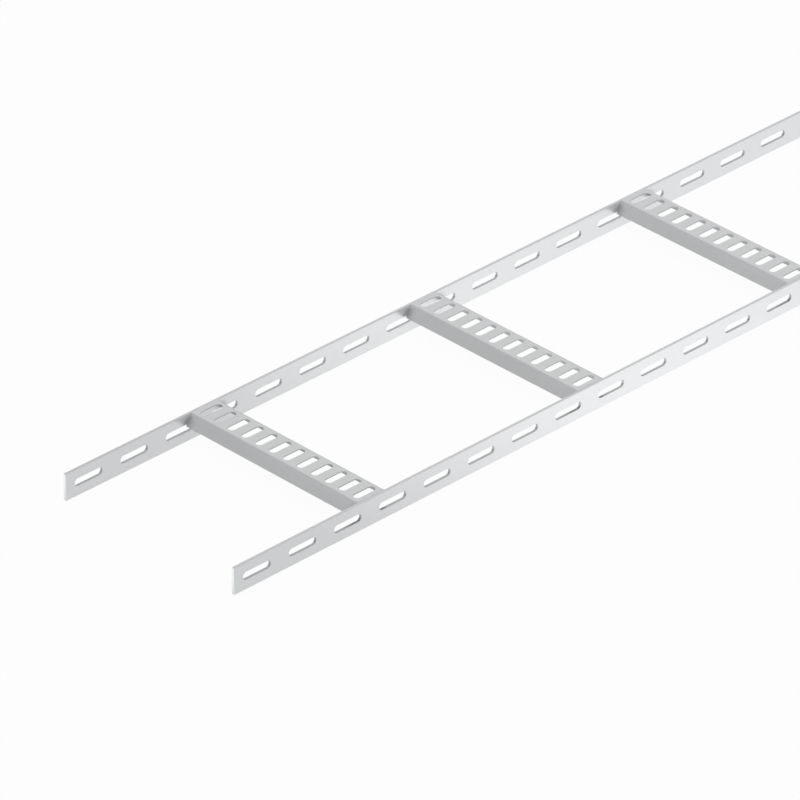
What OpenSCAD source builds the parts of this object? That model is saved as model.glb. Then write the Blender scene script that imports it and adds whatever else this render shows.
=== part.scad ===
// Cable ladder section: two slotted flat side rails joined by perforated,
// folded sheet rungs.
// X runs along the ladder, Y across it and Z up. The origin is the centre of
// the footprint, on the level of the side rails' lower edges.

/* [Ladder] */
// Width over the outer faces of the side rails
ladder_width = 200; // [120:5:600]
// Distance from one rung to the next; twelve of them make the ladder's length
rung_spacing = 250; // [180:5:400]
// Distance from the near end of the rails to the middle of the first rung
end_to_rung = 153.4; // [40:0.1:160]
// Height of the rung's crown below the rails' upper edges
crown_drop = 0; // [0:0.5:10]

/* [Side rails] */
// Height of the flat bar
rail_height = 25; // [18:1:60]
// Thickness of the flat bar
rail_thickness = 2.5; // [1.5:0.1:5]
// Distance between the middles of neighbouring rail slots
rail_slot_pitch = 50; // [40:1:100]
// Length of a rail slot, over its round ends
rail_slot_length = 30; // [12:0.5:38]
// Width of a rail slot
rail_slot_width = 7; // [4:0.5:11]

/* [Rungs] */
// Width of the crown, where its plane meets the planes of the flanges
crown_width = 29; // [22:0.5:60]
// Height of the folded rung
rung_height = 11; // [7:0.5:16]
// Thickness of the rung's sheet
rung_sheet = 1.0; // [0.8:0.1:2]
// Angle by which each flange leans outward from upright
flange_lean = 32; // [5:1:45]
// Inner radius of the folds between crown and flanges
fold_radius = 1.2; // [0.5:0.1:2.5]

/* [Rung slots] */
// Distance between the middles of neighbouring rung slots
rung_slot_pitch = 16.25; // [12:0.25:30]
// Width of a rung slot
rung_slot_width = 7; // [4:0.5:9]
// Distance from the crown's edge to the round end of a slot
rung_slot_inset = 3.4; // [3:0.1:6]

/* [Hidden] */
NODES = [
    "rail_right", "rail_left",
    "rung_01", "rung_02", "rung_03", "rung_04", "rung_05", "rung_06",
    "rung_07", "rung_08", "rung_09", "rung_10", "rung_11", "rung_12"
];
$fn = 48;
// Overshoot of every cutting body past the face it cuts
cut_over = 1;
// The side rails are listed first, and every other node is a rung
rung_count = len(NODES) - 2;
// Whole bays, so that the rungs keep their spacing across a joint
ladder_length = rung_count * rung_spacing;
first_rung_x = end_to_rung - ladder_length / 2;
// Slots fill the rail from end to end and are centred on its length
rail_slot_count = floor(ladder_length / rail_slot_pitch);
// The rungs stand between the rails' inner faces and are welded there
rung_length = ladder_width - 2 * rail_thickness;
rung_slot_count = floor(rung_length / rung_slot_pitch);
rung_slot_length = crown_width - 2 * rung_slot_inset;
crown_z = rail_height - crown_drop;
// The folded section: outer radius, turn of each fold, flat of the crown and
// straight run of a flange down to the rung's full height
fold_outer = fold_radius + rung_sheet;
fold_turn = 90 - flange_lean;
crown_flat = crown_width - 2 * fold_outer * tan(fold_turn / 2);
flange_run = (rung_height - fold_outer + fold_radius * cos(fold_turn)) / sin(fold_turn);
zinc_grey = [0.82, 0.84, 0.85];
zinc_shade = [0.76, 0.78, 0.79];

// Outline of a slot with full round ends, lying along x
module slot_outline(slot_length, slot_width) {
    end_x = (slot_length - slot_width) / 2;
    square([2 * end_x, slot_width], center = true);
    for (side = [-1, 1]) {
        translate([side * end_x, 0]) circle(d = slot_width);
    }
}

// A row of children, centred on the origin
module centred_row(count, pitch) {
    for (i = [0 : count - 1]) {
        translate([(i - (count - 1) / 2) * pitch, 0]) children();
    }
}

// Side view of the flat bar with its row of slots, centred on its height
module rail_outline() {
    difference() {
        square([ladder_length, rail_height], center = true);
        centred_row(rail_slot_count, rail_slot_pitch) {
            slot_outline(rail_slot_length, rail_slot_width);
        }
    }
}

// A flat side rail; side is -1 for the right rail and 1 for the left one
module rail(side) {
    rail_y = side * (ladder_width - rail_thickness) / 2;
    translate([0, rail_y + rail_thickness / 2, rail_height / 2]) {
        rotate([90, 0, 0]) linear_extrude(rail_thickness) rail_outline();
    }
}

// Half of the folded section, to the right of the middle. It is drawn about
// the fold's own middle line, which crown and flange leave at equal angles, and
// then turned until the crown lies level. The crown runs on past the middle,
// where the two halves join
module half_section() {
    translate([crown_flat / 2, -fold_outer]) rotate(-fold_turn / 2) {
        rotate(fold_turn / 2) translate([-crown_flat / 2 - cut_over, fold_radius]) {
            square([crown_flat / 2 + cut_over, rung_sheet]);
        }
        fold_sector();
        rotate(-fold_turn / 2) translate([0, fold_radius]) {
            square([flange_run, rung_sheet]);
        }
    }
}

// The fold itself: a ring, cut off square where the crown and the flange begin
module fold_sector() {
    difference() {
        rotate(fold_turn / 2) difference() {
            circle(r = fold_outer);
            circle(r = fold_radius);
            translate([-2 * fold_outer, -2 * fold_outer]) {
                square([2 * fold_outer, 4 * fold_outer]);
            }
        }
        rotate(-fold_turn / 2) translate([0, -2 * fold_outer]) {
            square([2 * fold_outer, 4 * fold_outer]);
        }
    }
}

// The rung's section, with the crown's upper face on y = 0
module rung_section() {
    half_section();
    mirror([1, 0]) half_section();
}

// A folded rung, with its row of slots through the crown
module rung(index) {
    translate([first_rung_x + index * rung_spacing, 0, crown_z]) {
        difference() {
            translate([0, rung_length / 2, 0]) {
                rotate([90, 0, 0]) linear_extrude(rung_length) rung_section();
            }
            translate([0, 0, -rung_sheet - cut_over]) {
                linear_extrude(rung_sheet + 2 * cut_over) {
                    rotate(90) centred_row(rung_slot_count, rung_slot_pitch) {
                        rotate(-90) slot_outline(rung_slot_length, rung_slot_width);
                    }
                }
            }
        }
    }
}

module rail_right() { color(zinc_grey) rail(-1); }
module rail_left() { color(zinc_grey) rail(1); }
module rung_01() { color(zinc_shade) rung(0); }
module rung_02() { color(zinc_shade) rung(1); }
module rung_03() { color(zinc_shade) rung(2); }
module rung_04() { color(zinc_shade) rung(3); }
module rung_05() { color(zinc_shade) rung(4); }
module rung_06() { color(zinc_shade) rung(5); }
module rung_07() { color(zinc_shade) rung(6); }
module rung_08() { color(zinc_shade) rung(7); }
module rung_09() { color(zinc_shade) rung(8); }
module rung_10() { color(zinc_shade) rung(9); }
module rung_11() { color(zinc_shade) rung(10); }
module rung_12() { color(zinc_shade) rung(11); }

rail_right();
rail_left();
rung_01();
rung_02();
rung_03();
rung_04();
rung_05();
rung_06();
rung_07();
rung_08();
rung_09();
rung_10();
rung_11();
rung_12();
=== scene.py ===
"""Finished look of a cable ladder section.

Two slotted flat side rails, twelve folded and slotted rungs between them, and
the weld beads that hold each rung under its crown. Lengths are in metres. X
runs along the ladder, Y across it and Z up, from the rails' lower edges.
"""
import logging
import math
from dataclasses import dataclass, field
from enum import Enum
from typing import Callable, Sequence

import bmesh
import bpy
from mathutils import Matrix, Vector


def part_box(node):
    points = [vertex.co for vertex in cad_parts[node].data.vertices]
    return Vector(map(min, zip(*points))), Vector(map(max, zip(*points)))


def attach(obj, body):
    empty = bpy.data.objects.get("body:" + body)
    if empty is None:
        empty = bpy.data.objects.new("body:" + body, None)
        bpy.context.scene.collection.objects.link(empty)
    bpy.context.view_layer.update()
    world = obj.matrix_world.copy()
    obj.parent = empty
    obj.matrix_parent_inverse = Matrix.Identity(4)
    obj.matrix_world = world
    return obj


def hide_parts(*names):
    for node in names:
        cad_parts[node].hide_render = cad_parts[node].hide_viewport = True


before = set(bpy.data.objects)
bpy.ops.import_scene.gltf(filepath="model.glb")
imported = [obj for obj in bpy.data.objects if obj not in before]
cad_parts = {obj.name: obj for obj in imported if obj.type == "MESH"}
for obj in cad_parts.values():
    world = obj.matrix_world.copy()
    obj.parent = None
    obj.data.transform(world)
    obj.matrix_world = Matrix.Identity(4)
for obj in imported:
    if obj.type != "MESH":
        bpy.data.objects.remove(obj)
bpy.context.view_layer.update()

LOG = logging.getLogger("cable_ladder")
MM = 0.001

Point2 = tuple[float, float]
Point3 = tuple[float, float, float]
Socket = bpy.types.NodeSocket

# The edge attribute goes from painted shade within the rungs (-1) over plain faces (0) to worked
# edges (1); on the rungs' folds it is painted shade, and on the bars' long edges partly so.
EDGE_AND_SHADE_ATTRIBUTE = "worked_edge_and_shade"
WORKED = 1.0
PLAIN = 0.0
CHANNEL_SHADE = -1.0
# The cut attribute is 1 on cut end faces.
CUT_ATTRIBUTE = "cut_end"

# Marks that the strip tree reads from a cell and removes in the end.
LOW_END = "end_low"
HIGH_END = "end_high"
CELL_NUMBER = "cell_number"

WHITE = (1.0, 1.0, 1.0, 1.0)
# Width of the narrow faces that keep the flat faces next to a rounding flat.
GUARD = 0.15 * MM
# Angle in degrees above which an edge of a strip stays sharp.
STRIP_SHARP = 40.0
# Allowance for rounding where lengths, angles or counts are compared.
HAIR = 1e-6


class Direction(Enum):
    """The way along which cells of a slotted strip repeat."""

    ALONG_LADDER = (1.0, 0.0, 0.0)
    ACROSS_LADDER = (0.0, 1.0, 0.0)


class Slot(Enum):
    """Material slots of the record."""

    RAIL = "rail_steel"
    RUNG = "rung_steel"


class Family(Enum):
    """Kinds of node group: the tree's type and the type of what it puts out."""

    SHADER = ("ShaderNodeTree", "NodeSocketFloat")
    GEOMETRY = ("GeometryNodeTree", "NodeSocketGeometry")


# ---------------------------------------------------------------------------
# Node trees
# ---------------------------------------------------------------------------


class TreeBuilder:
    """Adds and wires the nodes of one node tree."""

    def __init__(self, tree: bpy.types.NodeTree) -> None:
        """Keep the tree that the nodes go into."""
        self.tree = tree

    def add(self, kind: str, feeds: dict | None = None, **settings: object) -> bpy.types.Node:
        """Add a node.

        Args:
            kind: Blender's class name of the node.
            feeds: What goes into its inputs, by their name or number: a socket or
                a plain value.
            **settings: Properties of the node and their values.

        Returns:
            The new node.
        """
        node = self.tree.nodes.new(kind)
        for name, value in settings.items():
            setattr(node, name, value)
        for key, value in (feeds or {}).items():
            self.feed(value, node.inputs[key])
        return node

    def feed(self, value: object, socket: Socket) -> None:
        """Link a socket to an input, or write a plain value as its default.

        Args:
            value: The socket or the plain value.
            socket: The input.
        """
        if isinstance(value, Socket):
            self.tree.links.new(value, socket)
        else:
            socket.default_value = value

    def math(self, operation: str, *values: object, clamp: bool = False) -> Socket:
        """Work out a number.

        Args:
            operation: Name of the Math node's operation.
            *values: One or two sockets or numbers.
            clamp: Whether the result is kept between 0 and 1.

        Returns:
            The socket that carries the result.
        """
        feeds = dict(enumerate(values))
        node = self.add("ShaderNodeMath", feeds, operation=operation, use_clamp=clamp)
        return node.outputs[0]

    def ramp(
        self,
        value: Socket,
        target: Point2,
        source: Sequence[object] = (0.0, 1.0),
        soft: bool = False,
    ) -> Socket:
        """Map a value from one range to another and hold it at both ends.

        Args:
            value: The value to map.
            target: Results at the two ends.
            source: Values at the two ends, as numbers or sockets.
            soft: Whether it starts and ends gently.

        Returns:
            The socket that carries the result.
        """
        labels = ("From Min", "From Max", "To Min", "To Max")
        feeds = {"Value": value, **dict(zip(labels, (*source, *target)))}
        way = "SMOOTHSTEP" if soft else "LINEAR"
        return self.add("ShaderNodeMapRange", feeds, interpolation_type=way).outputs["Result"]

    def noise(
        self, place: Socket, scale: object, dimensions: str = "3D", **feeds: object
    ) -> Socket:
        """Add a noise that varies round 0.5.

        Args:
            place: Where it is read.
            scale: Its scale, as a number or a socket.
            dimensions: Its dimensions, 3D or 4D.
            **feeds: What goes into its other inputs.

        Returns:
            The socket that carries the noise.
        """
        feeds.update(Vector=place, Scale=scale)
        return self.add("ShaderNodeTexNoise", feeds, noise_dimensions=dimensions).outputs[0]

    def mix(self, factor: Socket, first: object, second: object) -> Socket:
        """Mix two colours.

        Args:
            factor: 0 for the first colour, 1 for the second.
            first: A socket, or a colour as three numbers.
            second: A socket, or a colour as three numbers.

        Returns:
            The socket that carries the mixed colour.
        """
        feeds: dict[str, object] = {"Factor": factor}
        for key, colour in (("A", first), ("B", second)):
            feeds[key] = colour if isinstance(colour, Socket) else (*colour, 1.0)
        return self.add("ShaderNodeMix", feeds, data_type="RGBA").outputs["Result"]


class NodeGroup(TreeBuilder):
    """A node group with named sockets.

    Attributes:
        sockets: Identifier of each input.
    """

    def __init__(
        self,
        name: str,
        family: Family,
        inputs: Sequence[tuple[str, str, object]],
        outputs: Sequence[str],
    ) -> None:
        """Start the group.

        Args:
            name: Name of the group.
            family: Kind of the group.
            inputs: Name, type and default of each input; the default may be None.
            outputs: Name of each output.
        """
        tree_type, output_type = family.value
        super().__init__(bpy.data.node_groups.new(name, tree_type))
        self.sockets: dict[str, str] = {}
        new_socket = self.tree.interface.new_socket
        for label, kind, default in inputs:
            socket = new_socket(label, in_out="INPUT", socket_type="NodeSocket" + kind)
            if default is not None:
                socket.default_value = default
            self.sockets[label] = socket.identifier
        for label in outputs:
            new_socket(label, in_out="OUTPUT", socket_type=output_type)
        self.start = self.add("NodeGroupInput")
        self.end = self.add("NodeGroupOutput")

    def given(self, label: str) -> Socket:
        """Give what comes in by one of the inputs."""
        return self.start.outputs[label]

    def put_out(self, label: str, value: Socket) -> None:
        """Send a value to one of the outputs."""
        self.feed(value, self.end.inputs[label])


# ---------------------------------------------------------------------------
# Shader node groups
# ---------------------------------------------------------------------------

# Shares of clouds, rolling lines and crystals in the tone of the zinc.
CLOUD_SHARE = 0.5
LINE_SHARE = 0.3
CRYSTAL_SHARE = 0.2
# Share of the rolling lines in its roughness.
LINE_ROUGHNESS = 0.5
# How unevenly the worked edges, the cut ends and the painted corner shade show.
EDGE_UNEVEN = (0.3, 1.5)
CUT_UNEVEN = (0.7, 1.2)
CORNER_SHADE_UNEVEN = (0.7, 1.3)
# Depths under the crown between which the painted corner shade comes up.
CORNER_SHADE_DEPTHS = (0.2 * MM, 5 * MM)
# How far the painted corner shade reaches into a rail, past its inner face.
CORNER_SHADE_SINK = 0.8 * MM


def rolled_zinc_group() -> bpy.types.NodeTree:
    """Build the surface of zinc-coated steel strip.

    Fine lines follow the rolling direction, over slow clouds of duller zinc and
    a faint crystal pattern.

    Returns:
        The node group, with Tone, Roughness and Height that average about 0.5.
    """
    group = NodeGroup(
        "Rolled zinc",
        Family.SHADER,
        [
            ("Lines Along", "Vector", (6.0, 900.0, 900.0)),
            ("Cloud Size", "Float", 14.0),
            ("Crystal Size", "Float", 260.0),
        ],
        ["Tone", "Roughness", "Height"],
    )
    place = group.add("ShaderNodeTexCoord").outputs["Object"]
    stretched = group.add(
        "ShaderNodeVectorMath", {0: place, 1: group.given("Lines Along")}, operation="MULTIPLY"
    )
    lines = group.noise(stretched.outputs[0], 1.0, Detail=2.0)
    clouds = group.noise(place, group.given("Cloud Size"), Detail=4.0, Roughness=0.6)
    crystals = group.add(
        "ShaderNodeTexVoronoi",
        {"Vector": place, "Scale": group.given("Crystal Size")},
        feature="F1",
    )
    crystal_tone = group.add("ShaderNodeSeparateColor", {0: crystals.outputs["Color"]})
    cloud_part = group.math("MULTIPLY", clouds, CLOUD_SHARE)
    line_part = group.math("MULTIPLY", lines, LINE_SHARE)
    crystal_part = group.math("MULTIPLY", crystal_tone.outputs[0], CRYSTAL_SHARE)
    line_rough = group.math("MULTIPLY", lines, LINE_ROUGHNESS)
    tone = group.math("ADD", group.math("ADD", cloud_part, line_part), crystal_part)
    group.put_out("Tone", tone)
    group.put_out("Roughness", group.math("ADD", cloud_part, line_rough))
    group.put_out("Height", group.math("ADD", lines, crystal_part))
    return group.tree


def edge_and_shade_group() -> bpy.types.NodeTree:
    """Build the marks of punched, sheared and folded metal, and of painted shade.

    The meshes carry an attribute that is up to 1 on punched and sheared edges
    and on the outer side of a fold, and -1 within a rung's channel, and another
    that is 1 on cut end faces. A fine noise breaks the bands up. The marks on
    the folds and within the channel are painted shade, and those on the bars'
    long edges are partly painted shade.

    Returns:
        The node group, with an Edge, a Cut and a channel shade mask from 0 to 1.
    """
    group = NodeGroup(
        "Worked edge and painted shade", Family.SHADER, [("Break Up", "Float", 1400.0)], ["Edge", "Cut", "Inside"]
    )
    band = group.add("ShaderNodeAttribute", attribute_name=EDGE_AND_SHADE_ATTRIBUTE).outputs["Fac"]
    cut = group.add("ShaderNodeAttribute", attribute_name=CUT_ATTRIBUTE).outputs["Fac"]
    place = group.add("ShaderNodeTexCoord").outputs["Object"]
    grit = group.noise(place, group.given("Break Up"), Detail=3.0)
    worked = group.math("MAXIMUM", band, 0.0)
    edge = group.math("MULTIPLY", worked, group.ramp(grit, EDGE_UNEVEN), clamp=True)
    group.put_out("Edge", edge)
    # The mask of the painted shade within the rungs' channels.
    group.put_out("Inside", group.math("DIVIDE", band, CHANNEL_SHADE, clamp=True))
    group.put_out("Cut", group.math("MULTIPLY", cut, group.ramp(grit, CUT_UNEVEN), clamp=True))
    return group.tree


@dataclass(frozen=True)
class JointRow:
    """Where the rungs' flanges meet the rails' inner faces.

    Attributes:
        first_x: Middle of the first rung.
        pitch: Distance between rungs.
        crown_half: Half of the crown's width.
        lean: Lean of the flanges from upright, in radians.
        face_y: Distance of the rails' inner faces from the middle.
        crown_z: Height of the crowns.
        foot_z: Height of the flanges' lower edges.
    """

    first_x: float
    pitch: float
    crown_half: float
    lean: float
    face_y: float
    crown_z: float
    foot_z: float


def corner_shade_group(joints: JointRow) -> bpy.types.NodeTree:
    """Paint shade round each flange's end, in the corner where it meets a rail.

    Args:
        joints: Where the flanges meet the rails.

    Returns:
        The node group, with a mask from 0 to 1 of the painted corner shade.
    """
    group = NodeGroup(
        "Painted corner shade",
        Family.SHADER,
        [("Reach", "Float", 9 * MM), ("Cloud Size", "Float", 160.0)],
        ["Corner Shade"],
    )
    place = group.add("ShaderNodeTexCoord").outputs["Object"]
    spot = group.add("ShaderNodeSeparateXYZ", {0: place}).outputs
    along = group.math("SUBTRACT", spot["X"], joints.first_x)
    from_rung = group.math("PINGPONG", along, joints.pitch / 2)
    depth = group.math("SUBTRACT", joints.crown_z, spot["Z"])
    leaning = group.math("MULTIPLY", depth, math.tan(joints.lean))
    flange = group.math("ADD", leaning, joints.crown_half)
    gap_y = group.math("SUBTRACT", joints.face_y, group.math("ABSOLUTE", spot["Y"]))
    below = group.math("SUBTRACT", joints.foot_z, spot["Z"])
    gap = group.add(
        "ShaderNodeCombineXYZ",
        {
            "X": group.math("SUBTRACT", from_rung, flange),
            "Y": gap_y,
            "Z": group.math("MAXIMUM", below, 0.0),
        },
    )
    far = group.add("ShaderNodeVectorMath", {0: gap.outputs[0]}, operation="LENGTH")
    reach = (0.0, group.given("Reach"))
    near = group.ramp(far.outputs["Value"], (1.0, 0.0), reach, soft=True)
    under = group.ramp(depth, (0.0, 1.0), CORNER_SHADE_DEPTHS, soft=True)
    cloud = group.noise(place, group.given("Cloud Size"))
    inner_side = group.math("GREATER_THAN", gap_y, -CORNER_SHADE_SINK)
    # Painted shade: darker near each flange's end, on the rail and on the flange.
    mask = group.math("MULTIPLY", group.math("MULTIPLY", near, under), inner_side)
    corner_shade = group.math("MULTIPLY", mask, group.ramp(cloud, CORNER_SHADE_UNEVEN), clamp=True)
    group.put_out("Corner Shade", corner_shade)
    return group.tree


# ---------------------------------------------------------------------------
# Finishes
# ---------------------------------------------------------------------------


@dataclass(frozen=True)
class ZincFinish:
    """A satin zinc-coated steel surface.

    Attributes:
        name: Name of the material.
        dull: Colour of the duller zinc.
        bright: Colour of the brighter zinc.
        corner_shade_colour: Colour of the painted shade in the corners where flanges meet rails.
        metallic: How far the surface is a bare metal.
        roughness: Lowest and highest roughness.
        lines: Noise scale along X, Y and Z; the small one is the rolling direction.
        edge: Colour of worked edges, if the pieces have any.
        cut: Colour of cut end faces, if they have any; on the bars it is lightened as a painted
            highlight.
        channel_shade: Colour of the painted shade within a rung's channel, if it has one.
        relief: Strength of the fine relief.
        relief_depth: Depth of the fine relief.
        contrast: Shares of the brighter zinc at the ends of the tone.
    """

    name: str
    dull: Point3
    bright: Point3
    corner_shade_colour: Point3
    metallic: float
    roughness: Point2
    lines: Point3
    edge: Point3 | None = None
    cut: Point3 | None = None
    channel_shade: Point3 | None = None
    relief: float = 0.04
    relief_depth: float = 0.05 * MM
    contrast: Point2 = (-0.3, 1.3)

    def material(
        self, zinc: bpy.types.NodeTree, edges: bpy.types.NodeTree, corner_shade: bpy.types.NodeTree
    ) -> bpy.types.Material:
        """Build the material.

        Args:
            zinc: The rolled zinc group.
            edges: The group of worked edges and painted shade.
            corner_shade: The group that paints shade into the corners at the flanges' ends.

        Returns:
            The finished material.
        """
        material = bpy.data.materials.new(self.name)
        material.use_nodes = True
        build = TreeBuilder(material.node_tree)
        skin = build.add("ShaderNodeGroup", {"Lines Along": self.lines}, node_tree=zinc).outputs
        tone = build.ramp(skin["Tone"], self.contrast)
        colour = build.mix(tone, self.dull, self.bright)
        bands = {"Inside": self.channel_shade, "Edge": self.edge, "Cut": self.cut}
        layers = [(mask, layer) for mask, layer in bands.items() if layer is not None]
        if layers:
            band = build.add("ShaderNodeGroup", node_tree=edges).outputs
            for mask, layer in layers:
                colour = build.mix(band[mask], colour, layer)
        # Painted shade in the corners where the flanges meet the rails.
        corner_shading = build.add("ShaderNodeGroup", node_tree=corner_shade).outputs
        colour = build.mix(corner_shading["Corner Shade"], colour, self.corner_shade_colour)
        relief = {"Strength": self.relief, "Distance": self.relief_depth, "Height": skin["Height"]}
        shader = material.node_tree.nodes["Principled BSDF"]
        for label, value in (
            ("Base Color", colour),
            ("Metallic", self.metallic),
            ("Roughness", build.ramp(skin["Roughness"], self.roughness)),
            ("Normal", build.add("ShaderNodeBump", relief).outputs["Normal"]),
        ):
            build.feed(value, shader.inputs[label])
        return material


RAIL_ZINC = ZincFinish(
    name="rail_zinc",
    dull=(0.905, 0.92, 0.93),
    bright=(0.945, 0.955, 0.965),
    corner_shade_colour=(0.61, 0.62, 0.63),
    metallic=0.85,
    roughness=(0.23, 0.36),
    lines=(5.0, 900.0, 900.0),
    # Worked edges; on the bars' long edges also painted shade that dims their highlights.
    edge=(0.50, 0.51, 0.52),
    # Bare cut steel, lightened further as a painted highlight on the bars' end faces.
    cut=(0.97, 0.98, 0.985),
)
# Darker than the rail zinc: painted shade on the rungs.
RUNG_ZINC = ZincFinish(
    name="rung_zinc",
    dull=(0.80, 0.81, 0.815),
    bright=(0.84, 0.85, 0.855),
    corner_shade_colour=(0.66, 0.67, 0.68),
    metallic=0.85,
    roughness=(0.40, 0.60),
    lines=(900.0, 5.0, 900.0),
    # Worked edges, and painted shade on the fold arcs.
    edge=(0.66, 0.67, 0.68),
    cut=(0.80, 0.81, 0.82),
    # Painted shade within the channel: its under faces are darkened.
    channel_shade=(0.46, 0.47, 0.48),
)
WELD_ZINC = ZincFinish(
    name="weld_zinc",
    dull=(0.50, 0.51, 0.52),
    bright=(0.68, 0.69, 0.70),
    corner_shade_colour=(0.45, 0.45, 0.46),
    metallic=0.8,
    roughness=(0.42, 0.7),
    lines=(500.0, 500.0, 500.0),
    relief=0.3,
)


# ---------------------------------------------------------------------------
# Slotted cells
# ---------------------------------------------------------------------------


def quarter_turn(steps: int) -> list[float]:
    """List evenly spaced angles over a quarter turn, both ends included."""
    return [math.pi / 2 * step / steps for step in range(steps + 1)]


@dataclass(frozen=True)
class SlotShape:
    """A slot with full round ends.

    Attributes:
        length: Length over the round ends.
        width: Width of the slot.
        rim_over: Rounding of the edge on the punch's side.
        rim_under: Rounding of the edge on the die's side.
        arc_steps: Faces round a quarter of each end.
        rim_steps: Faces over the rounding of an edge.
        rim_mark: Edge mark where the rounding starts.
        rim_guard: Width of the narrow faces on both sides of the rounding.
    """

    length: float
    width: float
    rim_over: float
    rim_under: float
    arc_steps: int = 6
    rim_steps: int = 3
    rim_mark: float = 0.25
    rim_guard: float = 0.12 * MM

    @property
    def reach(self) -> float:
        """Distance from the slot's middle to the centre of a round end."""
        return (self.length - self.width) / 2


@dataclass
class SlottedCell:
    """One pitch of a slotted strip, as a closed solid with marked end faces.

    The plate lies in u and v, with w upward from its middle. Its two worked
    sides are carried on by a profile, and its two other sides are end faces,
    where the next cell follows.

    Attributes:
        half_u: Half of the plate along the slot.
        half_v: Half of the plate across the slot.
        over: Height of the upper face.
        under: Height of the lower face.
        slot: The slot in the middle.
        profile: Side profile from the upper face to the lower one, as the
            distance outward, the height and the edge mark.
        profile_on_u: Whether the profile follows the sides at +-u. If not, it
            follows those at +-v.
        to_frame: Turns u, v and w into X, Y and Z.
        under_mark: Edge mark of the lower face.
        mesh_bm: The cell's mesh while it is being made.
    """

    half_u: float
    half_v: float
    over: float
    under: float
    slot: SlotShape
    profile: Sequence[Point3]
    profile_on_u: bool
    to_frame: Callable[[float, float, float], Point3]
    under_mark: float = PLAIN
    mesh_bm: bmesh.types.BMesh = field(default_factory=bmesh.new)

    def rays(self) -> list[tuple[Point2, Point2]]:
        """Pair the slot's outline with the plate's outline.

        Returns:
            For each step round the slot, counterclockwise from its lower right,
            the unit direction from the round end's centre and the point on the
            plate's outline that it leads to.
        """
        reach = self.slot.reach
        corner = math.atan2(self.half_v, self.half_u - reach)
        steps = self.slot.arc_steps
        angles = [-math.pi / 2 + (math.pi / 2 - corner) * i / steps for i in range(steps)]
        angles += [-corner + 2 * corner * i / steps for i in range(steps + 1)]
        angles += [-angle for angle in reversed(angles[:steps])]
        right: list[tuple[Point2, Point2]] = []
        for angle in angles:
            way = (math.cos(angle), math.sin(angle))
            if abs(angle) <= corner + HAIR:
                target = (self.half_u, (self.half_u - reach) * math.tan(angle))
            else:
                side = math.copysign(self.half_v, angle)
                target = (reach + side / math.tan(angle), side)
            right.append((way, target))
        left = [((-way[0], way[1]), (-target[0], target[1])) for way, target in reversed(right)]
        return right + left

    def rim_loops(self) -> list[Point3]:
        """List the loops from the upper face through the slot to the lower face.

        Returns:
            For each loop its distance from the round end's centre, its height and
            its edge mark.
        """
        slot = self.slot
        radius = slot.width / 2
        loops: list[Point3] = []
        for rim, face, way, flat_mark in (
            (slot.rim_over, self.over, 1, PLAIN),
            (slot.rim_under, self.under, -1, self.under_mark),
        ):
            one = [(radius + rim + slot.rim_guard, face, flat_mark)]
            for angle in quarter_turn(slot.rim_steps):
                out = radius + rim * (1 - math.sin(angle))
                height = face - way * rim * (1 - math.cos(angle))
                one.append((out, height, WORKED if angle else slot.rim_mark))
            one.append((radius, face - way * (rim + slot.rim_guard), WORKED))
            loops += one[::way]
        return loops

    def build(self) -> bpy.types.Mesh:
        """Build the closed cell.

        Returns:
            A mesh with face marks for its two end faces.
        """
        mesh_bm = self.mesh_bm
        edge_mark = mesh_bm.verts.layers.float.new(EDGE_AND_SHADE_ATTRIBUTE)
        rays = self.rays()
        reach = self.slot.reach

        def vertex(u: float, v: float, w: float, mark: float) -> bmesh.types.BMVert:
            """Add one marked vertex.

            Args:
                u: Its place along the slot.
                v: Its place across the slot.
                w: Its height.
                mark: Its edge mark.

            Returns:
                The vertex.
            """
            made = mesh_bm.verts.new(self.to_frame(u, v, w))
            made[edge_mark] = mark
            return made

        outline = [target for _, target in rays]
        over_rim = [vertex(u, v, self.over, PLAIN) for u, v in outline]
        under_rim = [vertex(u, v, self.under, self.under_mark) for u, v in outline]
        rings = [over_rim]
        for out, height, mark in self.rim_loops():
            ring = []
            for way, target in rays:
                middle = math.copysign(reach, target[0])
                ring.append(vertex(middle + out * way[0], out * way[1], height, mark))
            rings.append(ring)
        rings.append(under_rim)
        for upper, lower in zip(rings, rings[1:]):
            for i, corner in enumerate(upper):
                j = (i + 1) % len(upper)
                mesh_bm.faces.new((corner, upper[j], lower[j], lower[i]))
        self.close_sides(outline, over_rim, under_rim, vertex)
        bmesh.ops.recalc_face_normals(mesh_bm, faces=mesh_bm.faces[:])
        mesh = bpy.data.meshes.new("cell")
        mesh_bm.to_mesh(mesh)
        mesh_bm.free()
        return mesh

    def close_sides(
        self,
        outline: Sequence[Point2],
        over_rim: Sequence[bmesh.types.BMVert],
        under_rim: Sequence[bmesh.types.BMVert],
        vertex: Callable[[float, float, float, float], bmesh.types.BMVert],
    ) -> None:
        """Add the two profiled sides and the two end faces.

        Args:
            outline: Points round the plate, counterclockwise.
            over_rim: Vertices of the outline on the upper face.
            under_rim: Vertices of the outline on the lower face.
            vertex: Adds a marked vertex at u, v and w.
        """
        mesh_bm = self.mesh_bm
        low_mark = mesh_bm.faces.layers.bool.new(LOW_END)
        high_mark = mesh_bm.faces.layers.bool.new(HIGH_END)
        axis = 0 if self.profile_on_u else 1
        halves = (self.half_u, self.half_v)

        def members(along: int, side: int) -> list[int]:
            """Number the outline's points on one side of the plate.

            Args:
                along: 0 for the sides at +-u, 1 for those at +-v.
                side: -1 or 1.

            Returns:
                The points' numbers, in order along the side.
            """
            limit = side * halves[along]
            found = [i for i, p in enumerate(outline) if abs(p[along] - limit) < HAIR]
            return sorted(found, key=lambda i: outline[i][1 - along])

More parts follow.
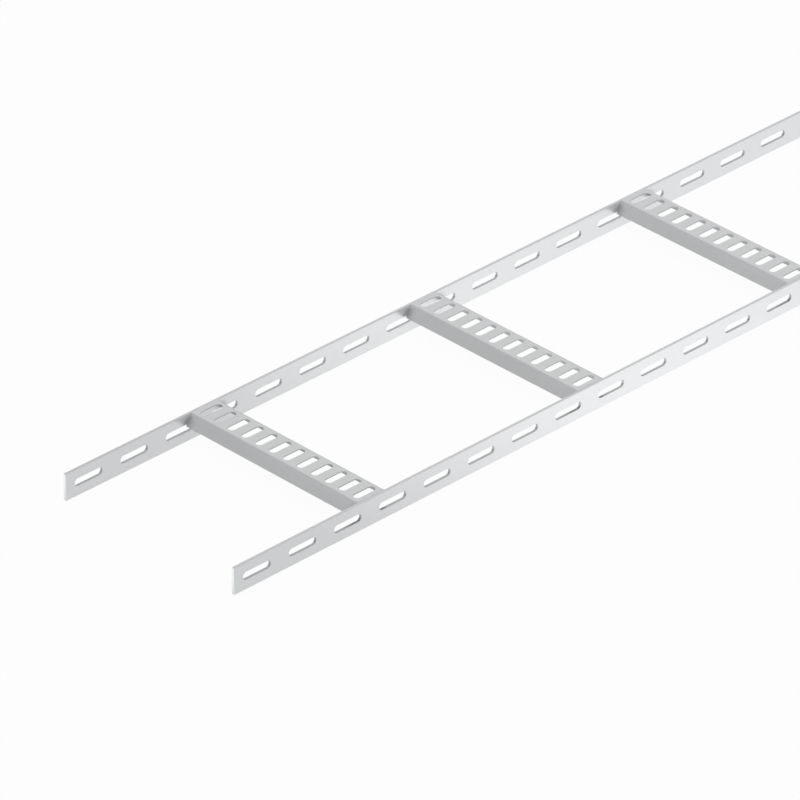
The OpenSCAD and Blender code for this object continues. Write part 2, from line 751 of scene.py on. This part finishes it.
        end_columns: dict[tuple[int, int], list[bmesh.types.BMVert]] = {}
        for side in (-1, 1):
            row_members = members(axis, side)
            grid = [[over_rim[i] for i in row_members]]
            for out, height, mark in self.profile:
                row = []
                for i in row_members:
                    place = list(outline[i])
                    place[axis] += side * out
                    row.append(vertex(*place, height, mark))
                grid.append(row)
            grid.append([under_rim[i] for i in row_members])
            for upper, lower in zip(grid, grid[1:]):
                for i in range(len(row_members) - 1):
                    mesh_bm.faces.new((upper[i], lower[i], lower[i + 1], upper[i + 1]))
            for end, position in ((-1, 0), (1, -1)):
                end_columns[(side, end)] = [row[position] for row in grid]
        for end in (-1, 1):
            inner = members(1 - axis, end)[1:-1]
            loop = [over_rim[i] for i in inner]
            loop += end_columns[(1, end)]
            loop += [under_rim[i] for i in reversed(inner)]
            loop += end_columns[(-1, end)][::-1]
            cap = mesh_bm.faces.new(loop)
            cap[low_mark if end < 0 else high_mark] = True


# ---------------------------------------------------------------------------
# Geometry Nodes trees
# ---------------------------------------------------------------------------


class PieceTree(NodeGroup):
    """A Geometry Nodes tree that turns a base mesh into a finished piece."""

    def __init__(self, name: str, inputs: dict[str, str]) -> None:
        """Start the tree and let it wire itself.

        Args:
            name: Name of the tree.
            inputs: Types of its own inputs, besides the base mesh and the finish.
        """
        kinds = {"Geometry": "Geometry", **inputs, "Finish": "Material"}
        every = [(label, kind, None) for label, kind in kinds.items()]
        super().__init__(name, Family.GEOMETRY, every, ["Geometry"])
        self.wire()

    def wire(self) -> None:
        """Add and link the nodes that make the piece."""
        raise NotImplementedError

    def dress(self, geometry: Socket) -> None:
        """Give the geometry its finish and put it out."""
        feeds = {"Geometry": geometry, "Material": self.given("Finish")}
        self.put_out("Geometry", self.add("GeometryNodeSetMaterial", feeds).outputs[0])

    def run(self, base: bpy.types.Mesh, values: dict[str, object], name: str) -> bpy.types.Mesh:
        """Run the tree on a mesh and keep the result as a plain mesh.

        Args:
            base: The mesh that goes in.
            values: Value of each input.
            name: Name of the new mesh.

        Returns:
            The evaluated mesh.
        """
        holder = bpy.data.objects.new(name + "_source", base)
        bpy.context.scene.collection.objects.link(holder)
        modifier = holder.modifiers.new("build", "NODES")
        modifier.node_group = self.tree
        for label, value in values.items():
            modifier[self.sockets[label]] = value
        graph = bpy.context.evaluated_depsgraph_get()
        result = holder.evaluated_get(graph)
        made = bpy.data.meshes.new_from_object(
            result, preserve_all_data_layers=True, depsgraph=graph
        )
        made.name = name
        bpy.data.objects.remove(holder)
        return made


class StripTree(PieceTree):
    """Repeats one closed cell into a whole closed strip."""

    # Vertices of neighbouring cells closer than this become one.
    MERGE = 0.004 * MM

    def __init__(self) -> None:
        """Build the tree once."""
        super().__init__("Repeat cell", {"Count": "Int", "First Place": "Vector", "Step": "Vector"})

    def wire(self) -> None:
        """Place the cells, drop the end faces between them and merge them."""
        feeds = {
            "Count": self.given("Count"),
            "Start Location": self.given("First Place"),
            "Offset": self.given("Step"),
        }
        line = self.add("GeometryNodeMeshLine", feeds, mode="OFFSET").outputs["Mesh"]
        index = self.add("GeometryNodeInputIndex").outputs[0]
        numbered = self.store(line, CELL_NUMBER, index, "INT", "POINT")
        feeds = {"Points": numbered, "Instance": self.given("Geometry")}
        row = self.add("GeometryNodeInstanceOnPoints", feeds).outputs["Instances"]
        real = self.add("GeometryNodeRealizeInstances", {"Geometry": row}).outputs[0]
        number = self.attribute(CELL_NUMBER, "INT")
        last = self.math("SUBTRACT", self.given("Count"), 1)
        low_end = self.attribute(LOW_END, "BOOLEAN")
        high_end = self.attribute(HIGH_END, "BOOLEAN")
        inside_low = self.logic("AND", low_end, self.differs(number, 0))
        inside_high = self.logic("AND", high_end, self.differs(number, last))
        feeds = {"Geometry": real, "Selection": self.logic("OR", inside_low, inside_high)}
        opened = self.add("GeometryNodeDeleteGeometry", feeds, domain="FACE", mode="ONLY_FACE")
        feeds = {"Geometry": opened.outputs[0], "Distance": self.MERGE}
        merged = self.add("GeometryNodeMergeByDistance", feeds).outputs[0]
        is_end = self.logic("OR", low_end, high_end)
        self.dress(self.store(merged, CUT_ATTRIBUTE, is_end, "FLOAT", "FACE"))

    def attribute(self, name: str, kind: str) -> Socket:
        """Read a named attribute."""
        node = self.add("GeometryNodeInputNamedAttribute", {"Name": name}, data_type=kind)
        return node.outputs["Attribute"]

    def store(self, geometry: Socket, name: str, value: Socket, kind: str, domain: str) -> Socket:
        """Store a named attribute.

        Args:
            geometry: The geometry that gets it.
            name: Its name.
            value: Its value.
            kind: Its data type.
            domain: Where it is kept, such as FACE.

        Returns:
            The geometry with the attribute.
        """
        feeds = {"Geometry": geometry, "Name": name, "Value": value}
        node = self.add("GeometryNodeStoreNamedAttribute", feeds, data_type=kind, domain=domain)
        return node.outputs[0]

    def differs(self, value: Socket, other: object) -> Socket:
        """Tell where a whole number differs from another.

        Args:
            value: The one number.
            other: The other, as a number or a socket.

        Returns:
            The condition.
        """
        feeds = {2: value, 3: other}
        node = self.add("FunctionNodeCompare", feeds, data_type="INT", operation="NOT_EQUAL")
        return node.outputs[0]

    def logic(self, operation: str, first: Socket, second: Socket) -> Socket:
        """Combine two conditions."""
        feeds = {0: first, 1: second}
        return self.add("FunctionNodeBooleanMath", feeds, operation=operation).outputs[0]

    def repeat(
        self,
        cell: bpy.types.Mesh,
        count: int,
        first: Point3,
        step: Point3,
        finish: bpy.types.Material,
        name: str,
    ) -> bpy.types.Mesh:
        """Repeat a cell into one plain mesh.

        Args:
            cell: The closed cell, around the origin.
            count: Number of cells.
            first: Place of the first cell.
            step: Step from one cell to the next.
            finish: Material of the strip.
            name: Name of the new mesh.

        Returns:
            The merged, closed and shaded mesh.
        """
        values = {"Count": count, "First Place": first, "Step": step, "Finish": finish}
        made = self.run(cell, values, name)
        for spare in (LOW_END, HIGH_END, CELL_NUMBER):
            if spare in made.attributes:
                made.attributes.remove(made.attributes[spare])
        shade(made, STRIP_SHARP)
        return made


class BeadTree(PieceTree):
    """Turns weld paths into rippled beads."""

    # Points along a bead for each ripple, and sides round it.
    STEPS = 4
    SIDES = 10
    # Scale of the unevenness, and the parts of ripple and unevenness in the swell.
    WOBBLE_SCALE = 400.0
    RIPPLE_PART = 0.5
    WOBBLE_PART = 1.6
    # Size of a bead without its swell.
    BODY = 0.85
    # How fast a bead grows from its ends, from which share of its section.
    GROWTH = 7.0
    START = 0.2

    def __init__(self) -> None:
        """Build the tree once."""
        labels = ("Bead Radius", "Ripple Pitch", "Ripple Share", "Seed")
        super().__init__("Weld bead", dict.fromkeys(labels, "Float"))

    def wire(self) -> None:
        """Sweep a ring of varying size along each path."""
        paths = self.add("GeometryNodeMeshToCurve", {"Mesh": self.given("Geometry")})
        pitch = self.given("Ripple Pitch")
        feeds = {"Curve": paths.outputs[0], "Length": self.math("MULTIPLY", pitch, 1 / self.STEPS)}
        fine = self.add("GeometryNodeResampleCurve", feeds, mode="LENGTH")
        feeds = {"Curve": fine.outputs[0], "Radius": self.radius(pitch)}
        sized = self.add("GeometryNodeSetCurveRadius", feeds)
        ring = self.add(
            "GeometryNodeCurvePrimitiveCircle",
            {"Resolution": self.SIDES, "Radius": 1.0},
            mode="RADIUS",
        )
        feeds = {
            "Curve": sized.outputs[0],
            "Profile Curve": ring.outputs["Curve"],
            "Scale": self.add("GeometryNodeInputRadius").outputs[0],
            "Fill Caps": True,
        }
        skin = self.add("GeometryNodeCurveToMesh", feeds)
        real = self.add("GeometryNodeRealizeInstances", {"Geometry": skin.outputs[0]})
        self.dress(real.outputs[0])

    def radius(self, pitch: Socket) -> Socket:
        """Work out a bead's radius along its path.

        Args:
            pitch: Distance between ripples.

        Returns:
            The socket that carries the radius.
        """
        along = self.add("GeometryNodeSplineParameter").outputs
        turned = self.math("MULTIPLY", along["Length"], 2 * math.pi)
        wave = self.math("SINE", self.math("DIVIDE", turned, pitch))
        place = self.add("GeometryNodeInputPosition").outputs[0]
        wobble = self.noise(place, self.WOBBLE_SCALE, "4D", W=self.given("Seed"))
        ripple = self.math(
            "ADD",
            self.math("MULTIPLY", wave, self.RIPPLE_PART),
            self.math("MULTIPLY", wobble, self.WOBBLE_PART),
        )
        swell = self.math("MULTIPLY", ripple, self.given("Ripple Share"))
        from_end = self.math("SUBTRACT", 1.0, along["Factor"])
        nearer = self.math("MINIMUM", along["Factor"], from_end)
        grown = self.math("ADD", self.math("MULTIPLY", nearer, self.GROWTH), self.START, clamp=True)
        taper = self.math("POWER", grown, 0.5)
        size = self.math("MULTIPLY", taper, self.math("ADD", swell, self.BODY))
        return self.math("MULTIPLY", size, self.given("Bead Radius"))


def shade(mesh: bpy.types.Mesh, sharp_over: float) -> None:
    """Smooth the rounded faces and keep the true corners sharp.

    Args:
        mesh: The mesh to shade.
        sharp_over: Angle in degrees above which an edge stays sharp.
    """
    mesh.polygons.foreach_set("use_smooth", [True] * len(mesh.polygons))
    mesh.set_sharp_from_angle(angle=math.radians(sharp_over))
    mesh.update()


def closed(mesh: bpy.types.Mesh) -> tuple[bool, float]:
    """Measure whether a mesh is closed.

    Args:
        mesh: The mesh to measure.

    Returns:
        Whether every edge joins two faces, and the volume in cubic millimetres.
    """
    probe = bmesh.new()
    probe.from_mesh(mesh)
    whole = all(edge.is_manifold for edge in probe.edges)
    volume = probe.calc_volume(signed=True) / MM**3
    probe.free()
    return whole, volume


def place_piece(name: str, mesh: bpy.types.Mesh, slot: Slot, replaced: Sequence[str]) -> None:
    """Put a finished mesh into the scene as a piece of the ladder.

    Args:
        name: Name of the piece.
        mesh: Its mesh, with its place in it.
        slot: Material slot of the record; not used.
        replaced: CAD nodes that the piece stands for.
    """
    piece = bpy.data.objects.new(name, mesh)
    bpy.context.scene.collection.objects.link(piece)
    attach(piece, "root")
    if replaced:
        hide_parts(*replaced)
    whole, volume = closed(mesh)
    LOG.info("%s: %d faces, closed %s, %.0f mm3", name, len(mesh.polygons), whole, volume)


# ---------------------------------------------------------------------------
# The ladder's sub-assemblies
# ---------------------------------------------------------------------------


@dataclass
class SideRail:
    """A slotted flat bar that stands on edge.

    Attributes:
        node: CAD node of the rail.
        outward: 1 if the rail's outer face looks along +Y, else -1.
        slot: Shape of its slots.
        slot_pitch: Distance between slots.
        edge_round: Rounding of the bar's long edges.
        edge_steps: Faces over that rounding.
        edge_mark: Edge mark of the rounding, partly painted shade that dims its highlight.
        side_mark: Edge mark of the long edge's own face, next to the rounding, partly painted shade
            that darkens it.
    """

    node: str
    outward: int
    slot: SlotShape = SlotShape(
        length=30 * MM, width=7 * MM, rim_over=0.20 * MM, rim_under=0.10 * MM
    )
    slot_pitch: float = 50 * MM
    edge_round: float = 0.22 * MM
    edge_steps: int = 4
    edge_mark: float = 0.52
    side_mark: float = 0.45

    def profile(self, half_thickness: float) -> list[Point3]:
        """Round the bar's long edge.

        Args:
            half_thickness: Half of the bar's thickness.

        Returns:
            Distance outward, height and edge mark of each step of the profile.
        """
        rounded = self.edge_round
        over: list[Point3] = []
        for angle in quarter_turn(self.edge_steps):
            out = GUARD + rounded * math.sin(angle)
            height = half_thickness - rounded * (1 - math.cos(angle))
            over.append((out, height, self.edge_mark))
        over.append((GUARD + rounded, half_thickness - rounded - GUARD, self.side_mark))
        return over + [(out, -height, mark) for out, height, mark in reversed(over)]

    def mesh(self, strips: StripTree, finish: bpy.types.Material) -> bpy.types.Mesh:
        """Build the whole rail.

        Args:
            strips: The tree that repeats a cell.
            finish: The rail's material.

        Returns:
            The rail's mesh in its place.
        """
        low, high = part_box(self.node)
        length = high.x - low.x
        count = round(length / self.slot_pitch)
        pitch = length / count
        half_thickness = (high.y - low.y) / 2
        cell = SlottedCell(
            half_u=pitch / 2,
            half_v=(high.z - low.z) / 2 - self.edge_round - GUARD,
            over=half_thickness,
            under=-half_thickness,
            slot=self.slot,
            profile=self.profile(half_thickness),
            profile_on_u=False,
            to_frame=lambda u, v, w: (u, self.outward * w, v),
        )
        first = (low.x + pitch / 2, (low.y + high.y) / 2, (low.z + high.z) / 2)
        step = tuple(pitch * part for part in Direction.ALONG_LADDER.value)
        return strips.repeat(cell.build(), count, first, step, finish, self.node + "_bar")


@dataclass
class FoldedRung:
    """A rung folded from slotted sheet: a level crown and two leaning flanges.

    Attributes:
        sheet: Thickness of the sheet.
        crown_width: Width where the planes of crown and flanges meet.
        flange_lean: Lean of the flanges from upright, in degrees.
        fold_radius: Inner radius of the folds.
        fold_steps: Faces over a fold.
        fold_bias: Power that moves the darkest line of the painted shade on the folds toward the
            flanges.
        slot: Shape of the slots.
        slot_pitch: Distance between slots.
        edge_round: Rounding of the sheet's sheared edges.
        edge_steps: Faces over that rounding.
        foot_mark: Edge mark where a flange's outer face ends.
    """

    sheet: float = 1.0 * MM
    crown_width: float = 29 * MM
    flange_lean: float = 32.0
    fold_radius: float = 1.2 * MM
    fold_steps: int = 10
    fold_bias: float = 1.5
    slot: SlotShape = SlotShape(
        length=22.2 * MM, width=7 * MM, rim_over=0.12 * MM, rim_under=0.06 * MM
    )
    slot_pitch: float = 16.25 * MM
    edge_round: float = 0.12 * MM
    edge_steps: int = 3
    foot_mark: float = 0.2

    @property
    def fold_outer(self) -> float:
        """Outer radius of a fold."""
        return self.fold_radius + self.sheet

    @property
    def crown_flat(self) -> float:
        """Width of the crown between its two folds."""
        turn = math.radians(90 - self.flange_lean)
        return self.crown_width - 2 * self.fold_outer * math.tan(turn / 2)

    def profile(self, height: float) -> list[Point3]:
        """Follow the fold and the flange, down its outer side and up its inner side.

        The outside of each fold gets an edge mark that peaks near its middle: painted
        shade that dims the fold's highlight.

        Args:
            height: Height of the rung.

        Returns:
            Distance outward from the plate, height and edge mark of each step.
        """
        lean = math.radians(self.flange_lean)
        out = Vector((math.cos(lean), math.sin(lean)))
        down = Vector((math.sin(lean), -math.cos(lean)))
        centre = Vector((GUARD, -self.fold_outer))
        run = (height - self.fold_outer + self.fold_radius * math.sin(lean)) / math.cos(lean)
        shares = [i / self.fold_steps for i in range(self.fold_steps + 1)]
        arc = [math.pi / 2 + (lean - math.pi / 2) * share for share in shares]
        outer = [centre + self.fold_outer * Vector((math.cos(a), math.sin(a))) for a in arc]
        inner = [centre + self.fold_radius * Vector((math.cos(a), math.sin(a))) for a in arc]
        foot_out = centre + self.fold_outer * out + run * down
        foot_in = centre + self.fold_radius * out + run * down
        small = self.edge_round
        # Painted shade on the fold's outer arc, strongest near its middle.
        fold_shade = [WORKED * math.sin(math.pi * share**self.fold_bias) for share in shares]
        marked = list(zip(outer, fold_shade))
        marked.append((outer[-1] + GUARD * down, PLAIN))
        marked.append((foot_out - (small + GUARD) * down, self.foot_mark))
        for corner, first, second in ((foot_out, down, -out), (foot_in, -out, -down)):
            pivot = corner - small * first + small * second
            for angle in quarter_turn(self.edge_steps):
                point = pivot - small * math.cos(angle) * second + small * math.sin(angle) * first
                marked.append((point, WORKED))
        # The flange's inner face and the fold's inner arc get painted shade.
        channel_shade = [foot_in - (small + GUARD) * down, inner[-1] + GUARD * down, *reversed(inner)]
        marked += [(point, CHANNEL_SHADE) for point in channel_shade]
        return [(point.x, point.y, mark) for point, mark in marked]

    def mesh(self, node: str, strips: StripTree, finish: bpy.types.Material) -> bpy.types.Mesh:
        """Build one whole rung around the middle of its crown's upper face.

        Args:
            node: CAD node whose size the rung takes.
            strips: The tree that repeats a cell.
            finish: The rung's material.

        Returns:
            The rung's mesh, with the crown's upper face on z = 0.
        """
        low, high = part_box(node)
        length = high.y - low.y
        count = int(length / self.slot_pitch + HAIR)
        pitch = length / count
        cell = SlottedCell(
            half_u=self.crown_flat / 2 - GUARD,
            half_v=pitch / 2,
            over=0.0,
            under=-self.sheet,
            slot=self.slot,
            profile=self.profile(high.z - low.z),
            profile_on_u=True,
            to_frame=lambda u, v, w: (u, v, w),
            # The crown's lower face gets the channel's painted shade.
            under_mark=CHANNEL_SHADE,
        )
        first = (0.0, low.y + pitch / 2, 0.0)
        step = tuple(pitch * part for part in Direction.ACROSS_LADDER.value)
        return strips.repeat(cell.build(), count, first, step, finish, "rung_sheet")


@dataclass
class WeldBeads:
    """Short fillet beads that join the rungs' ends to one rail, under the crowns.

    Attributes:
        rail: CAD node of the rail.
        side: -1 for the right rail, 1 for the left one.
        rung: The folded rung whose inside the beads follow.
        bead_radius: Radius of a bead.
        ripple_pitch: Distance between a bead's ripples.
        ripple_share: Height of the ripples as a share of the radius.
        crown_reach: Half of the length of the bead under the crown.
        crown_gap: Distance of that bead from the crown's lower face.
        wall_gap: Distance of the beads from the rail and of two from the flanges.
        flange_depths: Where a bead inside a flange starts and ends, below the crown.
        sharp_over: Angle in degrees above which an edge of a bead stays sharp.
        base_seed: Seed of the beads' unevenness midway between the rails.
    """

    rail: str
    side: int
    rung: FoldedRung
    bead_radius: float = 0.75 * MM
    ripple_pitch: float = 0.9 * MM
    ripple_share: float = 0.14
    crown_reach: float = 6 * MM
    crown_gap: float = 0.35 * MM
    wall_gap: float = 0.15 * MM
    flange_depths: Point2 = (3.6 * MM, 8.2 * MM)
    sharp_over: float = 60.0
    base_seed: float = 3.0

    def paths(self, middle_x: float, crown_z: float, face_y: float) -> list[list[Point3]]:
        """List the beads of one rung's end.

        Args:
            middle_x: Middle of the rung.
            crown_z: Height of the crown's upper face.
            face_y: The rail's inner face.

        Returns:
            The end points of each bead.
        """
        lean = math.radians(self.rung.flange_lean)
        sheet = self.rung.sheet
        wall_y = face_y - self.side * self.wall_gap
        under = crown_z - sheet - self.crown_gap
        beads = [[(middle_x + part * self.crown_reach, wall_y, under) for part in (-1, 1)]]
        inner = self.rung.crown_width / 2 - sheet / math.cos(lean) - self.wall_gap
        for way in (-1, 1):
            line = []
            for depth in self.flange_depths:
                reach = inner + depth * math.tan(lean)
                line.append((middle_x + way * reach, wall_y, crown_z - depth))
            beads.append(line)
        return beads

    def mesh(
        self, rung_nodes: Sequence[str], tree: BeadTree, finish: bpy.types.Material
    ) -> bpy.types.Mesh:
        """Build all beads along the rail.

        Args:
            rung_nodes: CAD nodes of the rungs.
            tree: The tree that makes beads.
            finish: Material of the beads.

        Returns:
            One mesh that holds the beads in their places.
        """
        low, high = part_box(self.rail)
        face_y = high.y if self.side < 0 else low.y
        points: list[Point3] = []
        for node in rung_nodes:
            start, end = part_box(node)
            for bead in self.paths((start.x + end.x) / 2, end.z, face_y):
                points += bead
        base = bpy.data.meshes.new("weld_paths")
        base.from_pydata(points, [(i, i + 1) for i in range(0, len(points), 2)], [])
        values = {
            "Bead Radius": self.bead_radius,
            "Ripple Pitch": self.ripple_pitch,
            "Ripple Share": self.ripple_share,
            "Seed": self.base_seed + self.side,
            "Finish": finish,
        }
        made = tree.run(base, values, self.rail + "_welds")
        shade(made, self.sharp_over)
        return made


# ---------------------------------------------------------------------------
# Stage
# ---------------------------------------------------------------------------


@dataclass
class Viewpoint:
    """The camera.

    Attributes:
        target: Point that the camera looks at.
        azimuth: Angle round the ladder in degrees; 0 looks along +Y.
        elevation: Angle above the horizon in degrees.
        distance: Distance from the target.
        focal: Focal length in millimetres.
        sensor: Width of the sensor in millimetres.
        clip: Nearest and farthest distance that is seen.
    """

    target: Point3 = (-1.19272, 0.02736, -0.00358)
    azimuth: float = -44.249
    elevation: float = 31.028
    distance: float = 6.89
    focal: float = 376.875
    sensor: float = 36.0
    clip: Point2 = (0.1, 60.0)

    def place(self) -> None:
        """Make the camera and give it to the scene."""
        turn = math.radians(self.azimuth)
        rise = math.radians(self.elevation)
        level = math.cos(rise)
        back = Vector((math.sin(turn) * level, -math.cos(turn) * level, math.sin(rise)))
        data = bpy.data.cameras.new("camera")
        data.sensor_width = self.sensor
        data.lens = self.focal
        data.clip_start, data.clip_end = self.clip
        camera = bpy.data.objects.new("camera", data)
        camera.location = Vector(self.target) + back * self.distance
        aim_along(camera, -back)
        bpy.context.scene.camera = camera


@dataclass(frozen=True)
class SoftLight:
    """A large soft lamp.

    Attributes:
        name: Name of the lamp.
        place: Where it hangs.
        aim: Where it points.
        face: Width and height of its face.
        power: Power in watts.
    """

    name: str
    place: Point3
    aim: Point3
    face: Point2
    power: float

    def hang(self) -> None:
        """Make the lamp."""
        data = bpy.data.lights.new(self.name, "AREA")
        data.shape = "RECTANGLE"
        data.size, data.size_y = self.face
        data.energy = self.power
        lamp = bpy.data.objects.new(self.name, data)
        lamp.location = self.place
        aim_along(lamp, Vector(self.aim) - Vector(self.place))


def aim_along(thing: bpy.types.Object, way: Vector) -> None:
    """Turn a camera or a lamp, and link it to the scene.

    Args:
        thing: The camera or the lamp.
        way: Direction in which it looks.
    """
    thing.rotation_mode = "QUATERNION"
    thing.rotation_quaternion = way.to_track_quat("-Z", "Y")
    bpy.context.scene.collection.objects.link(thing)


@dataclass
class Studio:
    """A white floor under even light.

    Where metal mirrors the floor, its brightness varies along the ladder, and
    nowhere is it over 1.

    Attributes:
        half_floor: Half of the floor's side.
        floor_level: Height of the floor.
        floor_colour: Colour of the floor under the lamps.
        whiteness: How far the floor stays white in a shadow.
        zenith: Brightness of the surroundings overhead.
        horizon: Brightness of the surroundings at the level of the floor.
        floor_gloss: Brightness of the mirrored floor at the near end.
        end_side: Start and end, along X, of the rise to 1 past the ladder's end.
        pool_rise: Start and end, along X, of the rise to the floor's brighter part.
        pool_fall: Start and end, along X, of the slight fall after it.
        pool_end: Start and end, along X, of the fade toward the far end.
        pool_side: Start and end, along Y, of the rise toward the front rail.
        pool_gain: How much brighter the floor is after the rise along X.
        pool_rest: Share of the gain that is left after the fall.
        pool_last: Share of it that is left after the fade.
        pool_front: Factor on the gain in front of the front rail.
        lamps: The soft lamps.
    """

    half_floor: float = 30.0
    floor_level: float = -0.4 * MM
    floor_colour: Point3 = (0.9, 0.9, 0.9)
    whiteness: float = 0.95
    zenith: float = 0.98
    horizon: float = 0.22
    floor_gloss: float = 0.68
    end_side: Point2 = (-1.49, -1.52)
    pool_rise: Point2 = (-1.42, -1.05)
    pool_fall: Point2 = (-1.03, -0.72)
    pool_end: Point2 = (-0.5, 0.1)
    pool_side: Point2 = (0.07, -0.1)
    pool_gain: float = 0.353
    pool_rest: float = 0.72
    pool_last: float = 0.15
    pool_front: float = 1.33
    lamps: tuple[SoftLight, ...] = (
        SoftLight("back", (0.8, 1.6, 1.4), (-0.8, 0.0, 0.0), (1.2, 1.2), 0.9),
    )

    def lay_floor(self) -> None:
        """Lay the floor, white to the camera yet able to take a shadow."""
        side = self.half_floor
        mesh = bpy.data.meshes.new("floor")
        corners = [(-side, -side), (side, -side), (side, side), (-side, side)]
        mesh.from_pydata([(x, y, self.floor_level) for x, y in corners], [], [(0, 1, 2, 3)])
        material = bpy.data.materials.new("floor_white")
        material.use_nodes = True
        material.node_tree.nodes.clear()
        build = TreeBuilder(material.node_tree)
        path = build.add("ShaderNodeLightPath").outputs
        seen, mirrored = path["Is Camera Ray"], path["Is Glossy Ray"]
        mirror = build.math("MULTIPLY", mirrored, self.mirrored_floor(build))
        strength = build.math("ADD", seen, mirror)
        share = build.math("ADD", build.math("MULTIPLY", seen, self.whiteness), mirrored)
        matte = build.add("ShaderNodeBsdfDiffuse", {"Color": (*self.floor_colour, 1.0)})
        glow = build.add("ShaderNodeEmission", {"Color": WHITE, "Strength": strength})
        feeds = {"Fac": share, 1: matte.outputs[0], 2: glow.outputs[0]}
        blend = build.add("ShaderNodeMixShader", feeds)
        build.add("ShaderNodeOutputMaterial", {"Surface": blend.outputs[0]})
        mesh.materials.append(material)
        floor = bpy.data.objects.new("floor", mesh)
        bpy.context.scene.collection.objects.link(floor)

    def mirrored_floor(self, build: TreeBuilder) -> Socket:
        """Vary the mirrored floor's brightness.

        Args:
            build: Builder of the floor's material.

        Returns:
            The brightness.
        """
        position = build.add("ShaderNodeNewGeometry").outputs["Position"]
        place = build.add("ShaderNodeSeparateXYZ", {0: position}).outputs
        gain = build.ramp(place["X"], (0.0, self.pool_gain), self.pool_rise, soft=True)
        for axis, target, ends in (
            ("X", self.pool_rest, self.pool_fall),
            ("X", self.pool_last, self.pool_end),
            ("Y", self.pool_front, self.pool_side),
        ):
            factor = build.ramp(place[axis], (1.0, target), ends, soft=True)
            gain = build.math("MULTIPLY", gain, factor)
        base = build.ramp(place["X"], (self.floor_gloss, 1.0), self.end_side, soft=True)
        return build.math("MULTIPLY", build.math("ADD", gain, 1.0), base)

    def light_sky(self) -> None:
        """Light the scene evenly and show white behind the floor."""
        world = bpy.data.worlds.new("studio")
        world.use_nodes = True
        world.node_tree.nodes.clear()
        bpy.context.scene.world = world
        build = TreeBuilder(world.node_tree)
        seen = build.add("ShaderNodeLightPath").outputs["Is Camera Ray"]
        way = build.add("ShaderNodeTexCoord").outputs["Generated"]
        height = build.add("ShaderNodeSeparateXYZ", {0: way}).outputs["Z"]
        strength = build.ramp(height, (self.horizon, self.zenith))
        soft = build.add("ShaderNodeBackground", {"Color": WHITE, "Strength": strength})
        white = build.add("ShaderNodeBackground", {"Color": WHITE, "Strength": 1.0})
        feeds = {"Fac": seen, 1: soft.outputs[0], 2: white.outputs[0]}
        blend = build.add("ShaderNodeMixShader", feeds)
        build.add("ShaderNodeOutputWorld", {"Surface": blend.outputs[0]})

    def set_up(self) -> None:
        """Lay the floor and light the scene."""
        self.lay_floor()
        self.light_sky()
        for lamp in self.lamps:
            lamp.hang()
        bpy.context.scene.view_settings.view_transform = "Standard"


def joint_row(rung_nodes: Sequence[str], rung: FoldedRung) -> JointRow:
    """Measure where the flanges meet the rails.

    Args:
        rung_nodes: CAD nodes of the rungs, in order.
        rung: The folded rung.

    Returns:
        The row of joints.
    """
    low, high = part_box(rung_nodes[0])
    next_low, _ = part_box(rung_nodes[1])
    return JointRow(
        first_x=(low.x + high.x) / 2,
        pitch=next_low.x - low.x,
        crown_half=rung.crown_width / 2,
        lean=math.radians(rung.flange_lean),
        face_y=high.y,
        crown_z=high.z,
        foot_z=low.z,
    )


def main() -> None:
    """Build the ladder, its stage and its view."""
    logging.basicConfig(level=logging.INFO, format="%(message)s")
    rung_nodes = sorted(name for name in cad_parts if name.startswith("rung_"))
    rung = FoldedRung()
    corner_shade = corner_shade_group(joint_row(rung_nodes, rung))
    groups = (rolled_zinc_group(), edge_and_shade_group(), corner_shade)
    rail_finish = RAIL_ZINC.material(*groups)
    rung_finish = RUNG_ZINC.material(*groups)
    strips = StripTree()
    for rail in (SideRail("rail_right", -1), SideRail("rail_left", 1)):
        place_piece(rail.node + "_bar", rail.mesh(strips, rail_finish), Slot.RAIL, [rail.node])
    pattern = rung.mesh(rung_nodes[0], strips, rung_finish)
    for node in rung_nodes:
        low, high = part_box(node)
        mesh = pattern.copy()
        mesh.transform(Matrix.Translation(((low.x + high.x) / 2, 0.0, high.z)))
        place_piece(node + "_sheet", mesh, Slot.RUNG, [node])
    beads = BeadTree()
    weld_finish = WELD_ZINC.material(*groups)
    for welds in (WeldBeads("rail_right", -1, rung), WeldBeads("rail_left", 1, rung)):
        mesh = welds.mesh(rung_nodes, beads, weld_finish)
        place_piece(welds.rail + "_welds", mesh, Slot.RUNG, [])
    Viewpoint().place()
    Studio().set_up()


if __name__ == "__main__":
    main()
